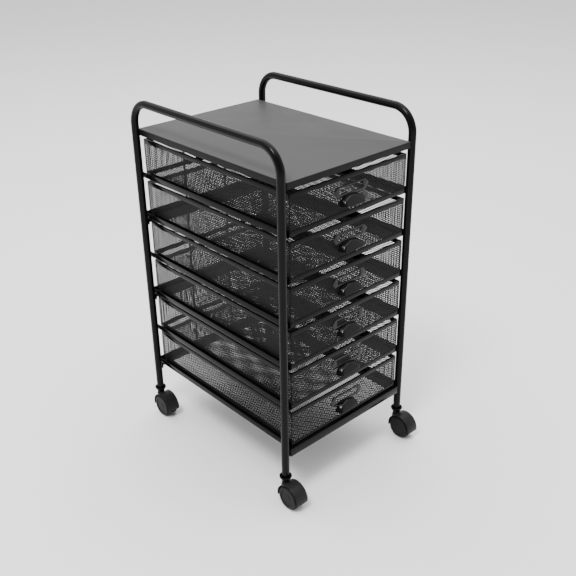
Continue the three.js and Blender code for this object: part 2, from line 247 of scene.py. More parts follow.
def pick(kind, test):
    """Selects the vertices, edges or faces of the shaped piece that pass the test."""
    bpy.ops.mesh.select_mode(type=kind)
    bpy.ops.mesh.select_all(action="DESELECT")
    form = bmesh.from_edit_mesh(bpy.context.object.data)
    for part in getattr(form, KINDS[kind]):
        if test(part):
            part.select_set(True)
    form.select_flush_mode()
    bmesh.update_edit_mesh(bpy.context.object.data)


def middle(part):
    return sum((corner.co for corner in part.verts), Vector()) / len(part.verts)


def runs_along(axis):
    def test(edge):
        span = edge.verts[1].co - edge.verts[0].co
        return abs(span[axis]) > STRAIGHT * span.length
    return test


def near(a, b, slack=SAME_PLACE):
    return abs(a - b) < slack


def pull(x=0.0, y=0.0, z=0.0):
    bpy.ops.mesh.extrude_region_move(TRANSFORM_OT_translate={"value": (x, y, z)})


def face_outwards():
    bpy.ops.mesh.select_all(action="SELECT")
    bpy.ops.mesh.normals_make_consistent(inside=False)


def face_along(direction, choose):
    """Turns the faces of an open sheet so that the chosen one looks along the direction."""
    face_outwards()
    form = bmesh.from_edit_mesh(bpy.context.object.data)
    if choose(form.faces).normal.dot(Vector(direction)) < 0:
        bpy.ops.mesh.flip_normals()


def lowest(faces):
    return min(faces, key=lambda face: middle(face).z)


def highest(faces):
    return max(faces, key=lambda face: middle(face).z)


def largest(faces):
    return max(faces, key=lambda face: face.calc_area())


def most_sided(faces):
    return max(faces, key=lambda face: len(face.verts))


def modify(piece, kind, **settings):
    take(piece)
    modifier = piece.modifiers.new(kind.title(), kind)
    for setting, value in settings.items():
        setattr(modifier, setting, value)
    bpy.ops.object.modifier_apply(modifier=modifier.name)


def thicken(piece, sheet, offset=-1.0):
    modify(piece, "SOLIDIFY", thickness=sheet, offset=offset, use_even_offset=True)


def soften(piece, width, segments=2, angle=40):
    modify(piece, "BEVEL", width=width, segments=segments, limit_method="ANGLE",
           angle_limit=math.radians(angle))


def smooth(piece, angle=35):
    take(piece)
    bpy.ops.object.shade_smooth_by_angle(angle=math.radians(angle))
    rest()
    return piece


def copied(piece, name, shift=(0, 0, 0), mirror=False):
    """A copy with a mesh of its own, moved or mirrored across the middle of the cart."""
    twin = piece.copy()
    twin.data = piece.data.copy()
    twin.name = name
    twin.data.name = name
    bpy.context.collection.objects.link(twin)
    twin.data.transform(Matrix.Translation(shift))
    if mirror:
        twin.data.transform(Matrix.Scale(-1, 4, (1, 0, 0)))
        twin.data.flip_normals()
    return twin


def joined(pieces, name):
    take(pieces[0])
    for piece in pieces[1:]:
        piece.select_set(True)
    bpy.ops.object.join()
    piece = bpy.context.object
    piece.name = name
    piece.data.name = name
    return piece


def turned(name, profile, sides, closed=False):
    """Rings of (radius, height), pulled and resized one after another along Z."""
    rest()
    radius, height = profile[0]
    bpy.ops.mesh.primitive_circle_add(vertices=sides, radius=radius, location=(0, 0, height))
    piece = named(name)
    shape(piece)
    bpy.ops.mesh.select_mode(type="EDGE")
    bpy.ops.mesh.select_all(action="SELECT")
    for next_radius, next_height in profile[1:]:
        pull(z=next_height - height)
        share = next_radius / radius
        bpy.ops.transform.resize(value=(share, share, 1), center_override=(0, 0, next_height))
        radius, height = next_radius, next_height
    pick("EDGE", lambda edge: edge.is_boundary)
    if closed:
        bpy.ops.mesh.bridge_edge_loops()
    else:
        bpy.ops.mesh.fill_holes(sides=0)
    face_outwards()
    rest()
    return piece


def dress(piece, body, finish, slot, *nodes):
    """Gives a finished piece its body and material, and hides the CAD nodes that it stands for;
    slot is not used.
    """
    piece.data.materials.clear()
    piece.data.materials.append(finish)
    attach(piece, body)
    if nodes:
        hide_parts(*nodes)
    return piece


# Shader maths
class Value:
    """One output of a material's nodes; arithmetic on it adds Math nodes."""

    def __init__(self, finish, socket):
        self.finish = finish
        self.socket = socket

    def maths(self, operation, first, second):
        return self.finish.node("Math", {"operation": operation}, {0: first, 1: second})

    def __add__(self, other):
        return self.maths("ADD", self, other)

    def __radd__(self, other):
        return self.maths("ADD", other, self)

    def __sub__(self, other):
        return self.maths("SUBTRACT", self, other)

    def __rsub__(self, other):
        return self.maths("SUBTRACT", other, self)

    def __mul__(self, other):
        return self.maths("MULTIPLY", self, other)

    def __rmul__(self, other):
        return self.maths("MULTIPLY", other, self)


class Finish:
    """A Principled material; constants go on its sockets, and what varies is linked."""

    def __init__(self, name, **constants):
        self.material = bpy.data.materials.new(name)
        self.material.use_nodes = True
        self.tree = self.material.node_tree
        self.shader = self.tree.nodes["Principled BSDF"]
        for socket, value in constants.items():
            self.shader.inputs[socket.replace("_", " ")].default_value = value

    def node(self, kind, settings=None, sockets=None, output=0):
        node = self.tree.nodes.new("ShaderNode" + kind)
        for setting, value in (settings or {}).items():
            setattr(node, setting, value)
        for socket, value in (sockets or {}).items():
            if isinstance(value, Value):
                self.tree.links.new(value.socket, node.inputs[socket])
            else:
                node.inputs[socket].default_value = value
        return Value(self, node.outputs[output])

    def feed(self, socket, value):
        self.tree.links.new(value.socket, self.shader.inputs[socket])

    def place(self):
        return self.node("TexCoord", output="Object")

    def noise(self, scale, detail=2.0, roughness=0.5):
        return self.node("TexNoise", {}, {"Vector": self.place(), "Scale": scale, "Detail": detail,
                                          "Roughness": roughness}, "Fac")

    def ramp(self, value, low, high, first=0.0, last=1.0):
        return self.node("MapRange", {"interpolation_type": "SMOOTHSTEP"}, {
            "Value": value, "From Min": low, "From Max": high, "To Min": first, "To Max": last})

    def upward(self):
        normal = self.node("NewGeometry", output="Normal")
        return self.node("SeparateXYZ", {}, {0: normal}, "Z")

    def blend(self, share, first, second):
        return self.node("Mix", {"data_type": "RGBA"}, {0: share, 6: first, 7: second}, 2)

    def varied(self, share, level, tones):
        """A grey that goes from the darker to the lighter of two tones of its level."""
        return self.blend(share, grey(level * tones[0]), grey(level * tones[1]))

    def bump(self, height, strength, distance):
        self.feed("Normal", self.node("Bump", {}, {"Height": height, "Strength": strength,
                                                   "Distance": distance}, "Normal"))


def grey(level, warm=0.0):
    return (level * (1 + warm), level, level * (1 - warm), 1.0)


def coat(name, level, dusty, rough, peel, gloss, top=None):
    """Powder coat: fine orange peel, uneven sheen and a trace of dust; with top set, upward faces
    also get a paler painted tone, painted light standing in for the light from above.
    """
    finish = Finish(name, Metallic=0.0, Specular_IOR_Level=gloss)
    cloud = finish.noise(COAT_CLOUDS, detail=3.0)
    grain = finish.noise(COAT_PEEL, detail=2.0)
    speck = finish.ramp(finish.noise(COAT_SPECKS, detail=1.0), low=0.66, high=0.78)
    flat = finish.ramp(finish.upward(), low=0.55, high=1.0)
    settle = flat * finish.ramp(cloud, low=0.35, high=0.75)
    tone = finish.varied(cloud, level, COAT_TONES)
    # Painted light: where top is set, upward faces blend towards a paler tone standing in for the
    # light from above; the same upward mask also settles real dust
    if top:
        tone = finish.blend(flat, tone, finish.varied(cloud, top, LIT_TOP_TONES))
    dust = settle * COAT_DUST + speck * COAT_SPECK_DUST
    finish.feed("Base Color", finish.blend(dust, tone, grey(dusty, DUST_WARMTH)))
    finish.feed("Roughness", rough - COAT_UNEVEN / 2 + cloud * COAT_UNEVEN + settle * COAT_UNEVEN)
    finish.bump(grain, peel, COAT_PEEL_DEPTH)
    return finish.material


def moulded(name, level, rough, worn=0.0):
    """Moulded nylon: spark-eroded grain, with a scuffed tone where worn is set."""
    finish = Finish(name, Metallic=0.0, Specular_IOR_Level=NYLON_GLOSS)
    cloud = finish.noise(NYLON_CLOUDS, detail=3.0)
    grain = finish.noise(NYLON_GRAIN, detail=3.0, roughness=0.6)
    scratches = finish.noise(NYLON_SCUFFS, detail=4.0, roughness=0.7)
    scuff = finish.ramp(scratches, low=0.52, high=0.72) * worn
    tone = finish.varied(cloud, level, NYLON_TONES)
    scuffed = grey(level * NYLON_SCUFF_TONE, DUST_WARMTH)
    finish.feed("Base Color", finish.blend(scuff, tone, scuffed))
    finish.feed("Roughness", rough - NYLON_UNEVEN / 2 + grain * NYLON_UNEVEN + scuff * NYLON_UNEVEN)
    finish.bump(grain, NYLON_GRAIN_SHARE, NYLON_GRAIN_DEPTH)
    return finish.material


def steel(name):
    """Plain steel wire, drawn along its length."""
    finish = Finish(name, Metallic=1.0)
    drawn = finish.node("Mapping", {}, {"Vector": finish.place(),
                                        "Scale": (1.0, WIRE_DRAW, WIRE_DRAW)})
    lines = finish.node("TexNoise", {}, {"Vector": drawn, "Scale": WIRE_LINES, "Detail": 3.0},
                        "Fac")
    finish.feed("Base Color", finish.varied(lines, 1, WIRE_TONES))
    finish.feed("Roughness", WIRE_ROUGH + lines * WIRE_UNEVEN)
    return finish.material


FRAME_COAT = coat("frame_powder_coat", level=0.0030, dusty=0.010, rough=0.17, peel=0.06, gloss=0.09)
# The tray's top faces get a paler painted tone (top), painted light from above; its folded edges
# keep the dark coat
TRAY_COAT = coat("tray_powder_coat", level=0.006, dusty=0.055, rough=0.46, peel=0.16, gloss=0.12,
                 top=0.047)
HANDLE_COAT = coat("handle_powder_coat", level=0.0035, dusty=0.012, rough=0.15, peel=0.05,
                   gloss=0.20)
# The mesh is the same black coat as the frame; its higher level is a painted sheen standing in for
# the light that twisted strands catch
MESH_COAT = coat("mesh_powder_coat", level=0.007, dusty=0.02, rough=0.38, peel=0.06, gloss=0.08)
HOOD_NYLON = moulded("hood_nylon", level=0.013, rough=0.36)
WHEEL_NYLON = moulded("wheel_nylon", level=0.009, rough=0.48, worn=0.4)
SOCKET_NYLON = moulded("socket_nylon", level=0.003, rough=0.50)
PIN_STEEL = steel("pin_steel")


# Tube side frame: a ring pulled up the front post, round the two bends and down the rear post
def side_frame(side):
    node = f"{side}_side_frame"
    low, high = map(Vector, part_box(node))
    radius = (high.x - low.x) / 2
    x, front, rear = low.x + radius, low.y + radius, high.y - radius
    bend_height = high.z - radius - BEND_RADIUS
    rest()
    bpy.ops.mesh.primitive_circle_add(vertices=TUBE_SIDES, radius=radius,
                                      location=(x, front, low.z))
    tube = named(f"{side}_frame_tube")
    shape(tube)
    bpy.ops.mesh.select_mode(type="EDGE")
    bpy.ops.mesh.select_all(action="SELECT")
    pull(z=bend_height - low.z)
    for y in (front + BEND_RADIUS, rear - BEND_RADIUS):
        bpy.ops.mesh.spin(steps=BEND_STEPS, angle=math.pi / 2, center=(x, y, bend_height),
                          axis=(1, 0, 0))
        if y < 0:
            pull(y=rear - front - 2 * BEND_RADIUS)
    pull(z=low.z - bend_height)
    bpy.ops.mesh.select_all(action="SELECT")
    bpy.ops.mesh.remove_doubles(threshold=WELD)
    pick("EDGE", lambda edge: edge.is_boundary)
    bpy.ops.mesh.fill_holes(sides=0)
    face_outwards()
    dress(smooth(tube), ROOT, FRAME_COAT, "powder_coat", node)


# Top tray: a pan with bevelled corners and folds, given its sheet thickness
def top_tray():
    low, high = map(Vector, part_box("top_tray"))
    tray = block("tray_pan", low, high)
    shape(tray)
    pick("FACE", lambda face: face.normal.z < -FACING)
    bpy.ops.mesh.delete(type="FACE")
    pick("EDGE", runs_along(2))
    bpy.ops.mesh.bevel(offset=TRAY_CORNER, segments=FOLD_STEPS, affect="EDGES")
    pick("EDGE", lambda edge: near(middle(edge).z, high.z))
    bpy.ops.mesh.bevel(offset=TRAY_FOLD, segments=FOLD_STEPS, affect="EDGES")
    face_outwards()
    thicken(tray, TRAY_SHEET)
    dress(smooth(tray), ROOT, TRAY_COAT, "tray_coat", "top_tray")


# Angle rail: a shelf with its outer edge turned up against the posts
def rails():
    low, high = map(Vector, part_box("left_rail_1"))
    rest()
    size = Vector((high.x - low.x, high.y - low.y, 1))
    centre = ((low.x + high.x) / 2, (low.y + high.y) / 2, low.z)
    bpy.ops.mesh.primitive_plane_add(size=1, location=centre)
    bpy.context.object.scale = size
    rail = named("left_angle_rail_1")
    shape(rail)
    pick("EDGE", lambda edge: near(middle(edge).x, low.x))
    pull(z=high.z - low.z)
    pick("EDGE", lambda edge: near(middle(edge).x, low.x) and near(middle(edge).z, low.z))
    bpy.ops.mesh.bevel(offset=RAIL_FOLD, segments=FOLD_STEPS, affect="EDGES")
    face_along((0, 0, 1), lowest)
    rest()
    thicken(rail, RAIL_SHEET, offset=1.0)
    soften(rail, SHEET_EDGE)
    smooth(rail)
    for level in LEVELS:
        drop = Vector((0, 0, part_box(f"left_rail_{level}")[0][2] - low.z))
        for side in SIDES:
            node = f"{side}_rail_{level}"
            if node == "left_rail_1":
                continue
            twin = copied(rail, f"{side}_angle_rail_{level}", drop, side == "right")
            dress(twin, ROOT, FRAME_COAT, "powder_coat", node)
    dress(rail, ROOT, FRAME_COAT, "powder_coat", "left_rail_1")


# Cross bar: an upright strip with its ends folded along the posts, and perhaps a lip at its top
def cross_bar(name, node, tab_top, lip=0.0, rise=0.0):
    low, high = map(Vector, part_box(node))
    high.z += rise
    face = high.y if high.y > 0 else low.y
    inward = -1 if face > 0 else 1
    rest()
    bpy.ops.mesh.primitive_plane_add(size=1, location=(0, face, (low.z + high.z) / 2),
                                     rotation=(math.pi / 2, 0, 0))
    bpy.context.object.scale = (high.x - low.x, high.z - low.z, 1)
    bar = named(name)
    shape(bar)
    if tab_top < high.z:
        bpy.ops.mesh.bisect(plane_co=(0, 0, tab_top), plane_no=(0, 0, 1))
    ends = lambda edge: near(abs(middle(edge).x), high.x) and middle(edge).z < tab_top
    pick("EDGE", ends)
    pull(y=inward * BAR_TAB)
    pick("EDGE", lambda edge: ends(edge) and runs_along(2)(edge) and near(middle(edge).y, face))
    bpy.ops.mesh.bevel(offset=BAR_FOLD, segments=FOLD_STEPS, affect="EDGES")
    if lip:
        crest = lambda edge: (runs_along(0)(edge) and near(middle(edge).z, high.z)
                              and near(middle(edge).y, face))
        pick("EDGE", crest)
        pull(y=inward * lip)
        pick("EDGE", crest)
        bpy.ops.mesh.bevel(offset=FRONT_LIP_FOLD, segments=FOLD_STEPS, affect="EDGES")
    face_along((0, -inward, 0), largest)
    rest()
    thicken(bar, BAR_SHEET)
    soften(bar, SHEET_EDGE)
    dress(smooth(bar), ROOT, FRAME_COAT, "powder_coat", node)


def cross_bars():
    for level in REAR_BAR_LEVELS:
        rail_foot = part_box(f"left_rail_{level}")[0][2]
        cross_bar(f"rear_strip_{level}", f"rear_bar_{level}", rail_foot - BAR_TAB_DROP)
    # The front bar's tabs are as high as the bar
    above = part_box("front_bar")[1][2] + MM + FRONT_LIP_RISE
    cross_bar("front_strip", "front_bar", above, FRONT_LIP, FRONT_LIP_RISE)


# Stop rods: drawn wire with rounded ends
def stop_rods():
    for side in SIDES:
        node = f"{side}_stop_rod"
        low, high = map(Vector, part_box(node))
        radius = (high.y - low.y) / 2
        rounding = radius * ROD_ROUNDING
        profile = [(radius - rounding, low.z), (radius, low.z + rounding),
                   (radius, high.z - rounding), (radius - rounding, high.z)]
        rod = turned(f"{side}_stop_wire", profile, ROD_SIDES)
        rod.data.transform(Matrix.Translation(((low.x + high.x) / 2, (low.y + high.y) / 2, 0)))
        dress(smooth(rod), ROOT, FRAME_COAT, "powder_coat", node)


# Expanded mesh: a grid poked into diamonds, whose edges become strands
def mesh_panel(name, width, height):
    columns, rows = round(width / MESH_LONG), round(height / MESH_SHORT)
    rest()
    bpy.ops.mesh.primitive_grid_add(x_subdivisions=columns, y_subdivisions=rows, size=1)
    bpy.context.object.scale = (width, height, 1)
    panel = named(name)
    shape(panel)
    bpy.ops.mesh.poke()
    square = lambda edge: runs_along(0)(edge) or runs_along(1)(edge)
    pick("EDGE", lambda edge: square(edge) and not edge.is_boundary)
    bpy.ops.mesh.dissolve_edges(use_verts=False)
    rest()
    modify(panel, "WIREFRAME", thickness=STRAND, use_even_offset=True, use_boundary=True,
           use_replace=True)
    shape(panel)
    bpy.ops.transform.resize(value=(1, 1, STRAND_SHEET / STRAND), center_override=(0, 0, 0))
    rest()
    return panel


def stood(panel, centre, facing):
    """Stands a flat panel up on its long edge, facing along X or Y, at its place."""
    turn = Matrix.Rotation(math.pi / 2, 4, "X")
    if facing == "x":
        turn = Matrix.Rotation(math.pi / 2, 4, "Z") @ turn
    panel.data.transform(Matrix.Translation(centre) @ turn)
    return panel


def drawer_mesh():
    """The walls and the floor of the first drawer, between its foot and its rim."""
    low, high = map(Vector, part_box("drawer_1_rim"))
    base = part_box("drawer_1_basket")[0][2]
    inset = RIM_INSET + STRAND_SHEET / 2
    half_x, front, rear = high.x - inset, low.y + inset, high.y + DRAWER_REACH - inset
    top = high.z - RIM_INSET - RIM_DROP
    foot = base + STRAND_SHEET / 2
    depth, height, z = rear - front, top - foot, (top + foot) / 2
    y = (front + rear) / 2
    walls = [stood(mesh_panel("wall_strands", 2 * half_x, height), (0, place, z), "y")
             for place in (front, rear)]
    walls += [stood(mesh_panel("wall_strands", depth, height), (place, y, z), "x")
              for place in (-half_x, half_x)]
    floor = mesh_panel("floor_strands", depth, 2 * half_x)
    floor.data.transform(Matrix.Translation((0, y, foot)) @ Matrix.Rotation(math.pi / 2, 4, "Z"))
    return joined(walls, "drawer_1_mesh_walls"), floor


# Drawer strips: closed rings of folded sheet round the mesh
def sheet_ring(name, low, high, wall, corner, edge):
    ring = block(name, low, high)
    shape(ring)
    pick("FACE", lambda face: abs(face.normal.z) > FACING)
    bpy.ops.mesh.delete(type="FACE")
    pick("EDGE", runs_along(2))
    bpy.ops.mesh.bevel(offset=corner, segments=FOLD_STEPS, affect="EDGES")
    face_outwards()
    rest()
    thicken(ring, wall)
    soften(ring, edge)
    return smooth(ring)


# Drawer handle: a pointed label frame over a cup that opens downward
def label_frame():
    high = Vector(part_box("drawer_1_handle")[1])
    top, foot = high.z, high.z - LABEL_HEIGHT
    centre = (top + foot) / 2
    rest()
    bpy.ops.mesh.primitive_circle_add(vertices=6, radius=1, fill_type="NGON",
                                      location=(0, high.y, centre),
                                      rotation=(math.pi / 2, math.pi / 2, 0))
    label = named("label_frame")
    shape(label)
    pick("VERT", lambda corner: True)
    form = bmesh.from_edit_mesh(label.data)
    wide = max(abs(corner.co.x) for corner in form.verts)
    tall = max(abs(corner.co.z - centre) for corner in form.verts)
    bpy.ops.transform.resize(value=(high.x / wide, 1, LABEL_HEIGHT / 2 / tall),
                             center_override=(0, high.y, centre))
    for side in SIDES.values():
        corner_x = [c.co.x for c in form.verts if c.co.x * side > MM and not near(c.co.z, centre)]
        pick("VERT", lambda c, side=side: c.co.x * side > MM and not near(c.co.z, centre))
        bpy.ops.transform.translate(value=(side * LABEL_HALF_TOP - corner_x[0], 0, 0))
    window_top = top - LABEL_WINDOW_DROP
    window_foot = window_top - LABEL_WINDOW_HEIGHT
    for x in (-LABEL_WINDOW_HALF, LABEL_WINDOW_HALF):
        bpy.ops.mesh.select_all(action="SELECT")
        bpy.ops.mesh.bisect(plane_co=(x, 0, 0), plane_no=(1, 0, 0))
    for z in (window_foot, window_top):
        bpy.ops.mesh.select_all(action="SELECT")
        bpy.ops.mesh.bisect(plane_co=(0, 0, z), plane_no=(0, 0, 1))
    window_z = (window_top + window_foot) / 2
    pick("FACE", lambda face: abs(middle(face).x) < MM and near(middle(face).z, window_z))
    bpy.ops.mesh.delete(type="FACE")
    face_along((0, -1, 0), largest)
    rest()
    thicken(label, LABEL_SHEET, offset=1.0)
    soften(label, LABEL_EDGE, segments=3)
    return smooth(label)


def cup_pull():
    """A half-moon under the label frame: an arch pulled out, its face leaning back, open below."""
    low, high = map(Vector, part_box("drawer_1_handle"))
    base = low.z + CUP_LIFT
    front = high.y - CUP_REACH
    rest()
    bpy.ops.mesh.primitive_circle_add(vertices=CUP_SIDES, radius=1, fill_type="NGON",
                                      location=(0, high.y, base), rotation=(math.pi / 2, 0, 0))
    bpy.context.object.scale = (CUP_HALF_WIDTH, CUP_HEIGHT, 1)
    cup = named("cup_pull")
    shape(cup)
    bpy.ops.mesh.bisect(plane_co=(0, 0, base), plane_no=(0, 0, 1), clear_inner=True)
    pick("FACE", lambda face: True)
    pull(y=-CUP_REACH)
    bpy.ops.transform.resize(value=(CUP_DRAFT, 1, CUP_DRAFT), center_override=(0, front, base))
    bpy.ops.transform.rotate(value=CUP_LEAN, orient_axis="X", center_override=(0, front, base))
    pick("FACE", lambda face: near(middle(face).z, base))
    bpy.ops.mesh.delete(type="FACE")
    face = most_sided(bmesh.from_edit_mesh(cup.data).faces)
    ridge = {edge.index for edge in face.edges if middle(edge).z > base + RIDGE_CLEAR}
    pick("EDGE", lambda edge: edge.index in ridge)
    bpy.ops.mesh.bevel(offset=CUP_RIDGE, segments=CUP_RIDGE_STEPS, affect="EDGES")
    face_along((0, -1, 0), most_sided)
    rest()
    thicken(cup, CUP_WALL)
    soften(cup, LABEL_EDGE, segments=3)
    return smooth(cup)


def drawers():
    """Models the first drawer, and copies it to the other levels before it is dressed itself."""
    walls, floor = drawer_mesh()
    rim_low, rim_high = map(Vector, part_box("drawer_1_rim"))
    rim_drop = Vector((0, 0, RIM_DROP))
    base_low, base_high = map(Vector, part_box("drawer_1_basket"))
    rim_high.y += DRAWER_REACH
    base_high.y += DRAWER_REACH
    band_high = Vector((base_high.x, base_high.y, base_low.z + BAND_HEIGHT))
    first = {
        "mesh_walls": (walls, MESH_COAT, "mesh_coat", "basket"),
        "mesh_floor": (floor, MESH_COAT, "mesh_coat", "basket"),
        "foot_band": (sheet_ring("foot_band", base_low, band_high,
                                 BAND_SHEET, RIM_CORNER, SHEET_EDGE),
                      FRAME_COAT, "mesh_coat", "basket"),
        "rim_strip": (sheet_ring("rim_strip", rim_low - rim_drop, rim_high - rim_drop,
                                 RIM_WALL, RIM_CORNER, RIM_EDGE),
                      FRAME_COAT, "powder_coat", "rim"),
        "handle_plate": (joined([label_frame(), cup_pull()], "handle_plate"),
                         HANDLE_COAT, "powder_coat", "handle"),
    }
    for level in reversed(LEVELS):
        drop = Vector((0, 0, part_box(f"drawer_{level}_rim")[0][2] - rim_low.z))
        for part, (piece, finish, slot, node) in first.items():
            name = f"drawer_{level}_{part}"
            twin = copied(piece, name, drop) if level > 1 else piece
            twin.name = name
            dress(twin, f"drawer_{level}", finish, slot, f"drawer_{level}_{node}")


# Casters
def joint(name):
    return next(row for row in frame["joints"] if row["name"] == name)


def across(piece, centre):
    """Turns a piece made along Z to lie along X, at its place."""
    piece.data.transform(Matrix.Translation(centre) @ Matrix.Rotation(math.pi / 2, 4, "Y"))
    return piece


def hood_shell(axle, radius, half_width):
    """The arch over both wheels, cut off below the axle."""
    rest()
    bpy.ops.mesh.primitive_cylinder_add(vertices=CASTER_SIDES * 2, radius=radius, location=axle,
                                        depth=2 * half_width, rotation=(0, math.pi / 2, 0))
    hood = named("hood_shell")
    shape(hood)
    pick("FACE", lambda face: abs(face.normal.x) > FACING)
    bpy.ops.mesh.delete(type="FACE")
    bpy.ops.mesh.select_all(action="SELECT")
    cut = axle.z - radius * math.sin(HOOD_CUT)
    bpy.ops.mesh.bisect(plane_co=(0, 0, cut), plane_no=(0, 0, 1), clear_inner=True)
    face_along((0, 0, 1), highest)
    rest()
    thicken(hood, HOOD_WALL)
    soften(hood, HOOD_EDGE, segments=3)
    return hood


def hood_web(axle, radius):
    """The half disc between the wheels, with the boss for their axle."""
    rest()
    bpy.ops.mesh.primitive_cylinder_add(vertices=CASTER_SIDES, radius=radius, depth=WEB_THICKNESS,
                                        location=axle, rotation=(0, math.pi / 2, 0))
    web = named("hood_web")
    shape(web)
    bpy.ops.mesh.bisect(plane_co=axle, plane_no=(0, 0, 1), clear_inner=True, use_fill=True)
    rest()
    soften(web, SHEET_EDGE)
    boss = turned("axle_boss", [(AXLE_BOSS, -WEB_THICKNESS / 2), (AXLE_BOSS, WEB_THICKNESS / 2)],
                  NECK_SIDES)
    soften(boss, SHEET_EDGE)
    return joined([web, across(boss, axle)], "hood_web")


def hood_neck(stem, axle, arch, top):
    """The neck under the socket, cut to the arch, with the stem that stands in the tube."""
    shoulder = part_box("front_left_caster_socket")[0][2] - NECK_EDGE
    neck = turned("hood_neck", [
        (NECK_FOOT, axle.z), (NECK_FOOT, shoulder - NECK_TAPER_FOOT),
        (NECK_RADIUS, shoulder - NECK_TAPER_TOP), (NECK_RADIUS, shoulder - NECK_EDGE),
        (NECK_RADIUS - NECK_EDGE, shoulder), (STEM_RADIUS, shoulder),
        (STEM_RADIUS, top - NECK_EDGE), (STEM_RADIUS - NECK_EDGE, top)], NECK_SIDES)
    neck.data.transform(Matrix.Translation((stem.x, stem.y, 0)))
    rest()
    bpy.ops.mesh.primitive_cylinder_add(vertices=CASTER_SIDES * 2, radius=arch, location=axle,
                                        depth=WHEEL_ROOM_WIDTH, rotation=(0, math.pi / 2, 0))
    room = named("wheel_room")
    modify(neck, "BOOLEAN", operation="DIFFERENCE", object=room, solver="EXACT")
    bpy.data.objects.remove(room)
    return neck


def wheel(name, radius, width):
    """A twin-caster wheel along Z, outer face up: tread, smaller cap, raised rim, dish and hub."""
    half = width / 2
    round_steps = [math.radians(angle) for angle in ROUND_ANGLES]
    profile = [(HUB_CENTRE, -half), (radius - WHEEL_EDGE, -half)]
    profile += [(radius - WHEEL_EDGE / 2 * (1 - math.sin(t)),
                 -half + WHEEL_EDGE / 2 * (1 - math.cos(t))) for t in round_steps]
    cap = radius - WHEEL_CAP_DROP
    step = half - WHEEL_CAP_DEPTH
    profile += [(radius, step - SHEET_EDGE), (radius - SHEET_EDGE, step), (cap, step)]
    profile += [(cap - WHEEL_CAP_EDGE * (1 - math.cos(t)),
                 half - WHEEL_CAP_EDGE * (1 - math.sin(t))) for t in round_steps]
    dish = cap - WHEEL_CAP_EDGE - WHEEL_RIM
    hollow = half - WHEEL_DISH
    profile += [(dish, half), (dish - WHEEL_DISH, hollow), (HUB_RADIUS + HUB_RISE, hollow),
                (HUB_RADIUS, hollow + HUB_RISE), (HUB_CENTRE, hollow + HUB_RISE)]
    return turned(name, profile, CASTER_SIDES)


def caster_socket(name):
    """The flared insert: cup round the tube's foot, plug inside it, bore for the stem."""
    low, high = map(Vector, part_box("front_left_caster_socket"))
    tube_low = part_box("left_side_frame")[0]
    tube_radius = (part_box("left_side_frame")[1][0] - tube_low[0]) / 2
    flare = (high.x - low.x) / 2
    seat = tube_low[2] - SOCKET_PLAY
    rim_top = seat + SOCKET_RISE
    throat = tube_radius + SOCKET_PLAY
    bore = STEM_RADIUS + SOCKET_PLAY
    plug = tube_radius - SOCKET_PLUG_INSET
    lip = SOCKET_LIP
    foot = [(bore, low.z), (NECK_RADIUS - lip, low.z), (NECK_RADIUS, low.z + lip)]
    outside = [(throat + lip, seat - SOCKET_CHAMFER), (throat + SOCKET_WALL, seat),
               (flare - lip, rim_top - FLARE_FOOT), (flare, rim_top - FLARE_TOP)]
    rim = [(flare, rim_top - lip), (flare - lip, rim_top), (flare - 2 * lip, rim_top - lip / 2)]
    mouth = [(throat + MOUTH_WIDENING, seat + MOUTH_TOP), (throat, seat + MOUTH_FOOT),
             (throat, seat)]
    inside = [(plug, seat), (plug, high.z), (bore, high.z)]
    piece = turned(name, foot + outside + rim + mouth + inside, SOCKET_SIDES, closed=True)
    return smooth(piece, angle=50)


def at_place(piece, name, shift):
    """The piece itself at the first caster, and a copy of it at the others."""
    return copied(piece, name, shift) if shift.length > MM else piece


def casters():
    """Models the first caster, and copies it to the other posts before it is dressed itself."""
    stem = Vector(joint("front_left_swivel")["pos_m"])
    axle = Vector(joint("front_left_left_roll")["pos_m"])
    low, high = map(Vector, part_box("front_left_caster_hood"))
    radius = axle.y - low.y
    half_width = (high.x - low.x) / 2 - HOOD_NARROWING
    wall_middle = radius - HOOD_WALL / 2
    shell = hood_shell(axle, radius, half_width)
    web = hood_web(axle, wall_middle)
    neck = hood_neck(stem, axle, wall_middle, high.z)
    hood = smooth(joined([shell, web, neck], "front_left_hood"), angle=40)
    insert = caster_socket("front_left_insert")
    insert.data.transform(Matrix.Translation((stem.x, stem.y, 0)))
    wheels = {}
    for side, sign in SIDES.items():
        wheel_low, wheel_high = map(Vector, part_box(f"front_left_caster_{side}_wheel"))
        tyre = wheel(f"front_left_{side}_roller", axle.z, wheel_high.x - wheel_low.x)
        turn = Matrix.Rotation(sign * math.pi / 2, 4, "Y")
        centre = Vector(((wheel_low.x + wheel_high.x) / 2, axle.y, axle.z))
        tyre.data.transform(Matrix.Translation(centre) @ turn)
        wheels[side] = smooth(tyre, angle=40)
    for place in reversed(PLACES):
        shift = Vector(joint(f"{place}_swivel")["pos_m"]) - stem
        dress(at_place(hood, f"{place}_hood", shift), f"{place}_caster", HOOD_NYLON, "nylon",
              f"{place}_caster_hood")
        dress(at_place(insert, f"{place}_insert", shift), ROOT, SOCKET_NYLON, "nylon",
              f"{place}_caster_socket")
        for side, tyre in wheels.items():
            dress(at_place(tyre, f"{place}_{side}_roller", shift), f"{place}_{side}_wheel",
                  WHEEL_NYLON, "wheel_nylon", f"{place}_caster_{side}_wheel")
        pin = frame["nodes"][f"{place}_caster_axle"]
        pin.data.materials.clear()
        pin.data.materials.append(PIN_STEEL)


